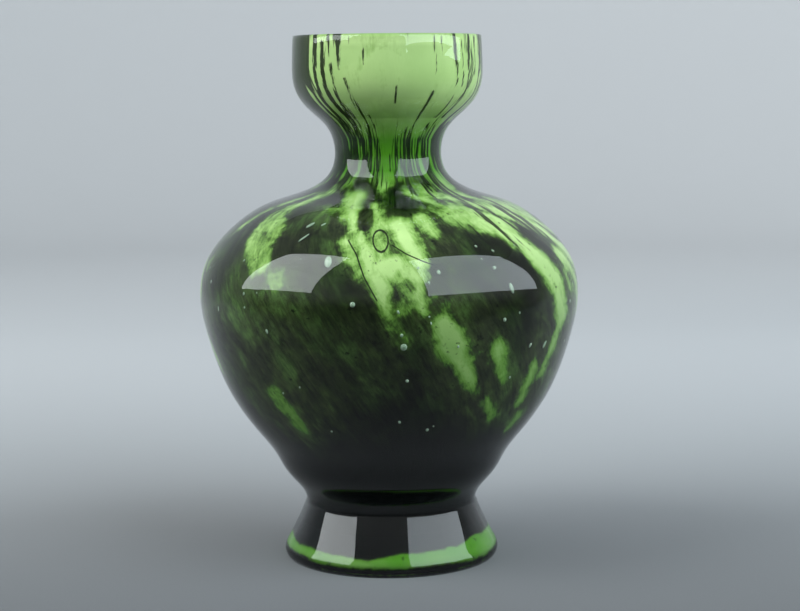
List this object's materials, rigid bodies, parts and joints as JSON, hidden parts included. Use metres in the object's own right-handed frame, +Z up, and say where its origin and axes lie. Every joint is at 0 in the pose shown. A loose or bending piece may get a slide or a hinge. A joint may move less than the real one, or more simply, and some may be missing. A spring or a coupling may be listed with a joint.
{
  "type": "hand blown art glass vase",
  "caption": "Footed baluster vase of hand blown cased glass with a cupped mouth, a narrow neck, a full belly and a flared hollow foot, green marbled with near-black.",
  "frame": {"origin": "centre of the ground bearing ring under the foot, on the standing plane", "axes": "+Z up the vase's axis towards the rim; -Y faces the side the marbling was laid out for"},
  "size_m": [0.1808, 0.1808, 0.25],
  "materials": {
    "clear_casing": "fire-polished clear crystal casing, cut and polished flat at the rim",
    "opaline_lining": "glossy green opaline, paler at the rim",
    "green_glass": "green colour glass under the casing, with fine streaks",
    "dark_glass": "near-black colour glass under the casing, mottled olive"
  },
  "bodies": {
    "root": {"clear_casing": "clear_casing", "opaline_lining": "opaline_lining", "neck_green_ground": "green_glass", "neck_dark_threads": "dark_glass", "belly_dark_marbling": "dark_glass", "belly_green_windows": "green_glass", "foot_dark_band": "dark_glass", "foot_green_band": "green_glass"}
  },
  "joints": []
}
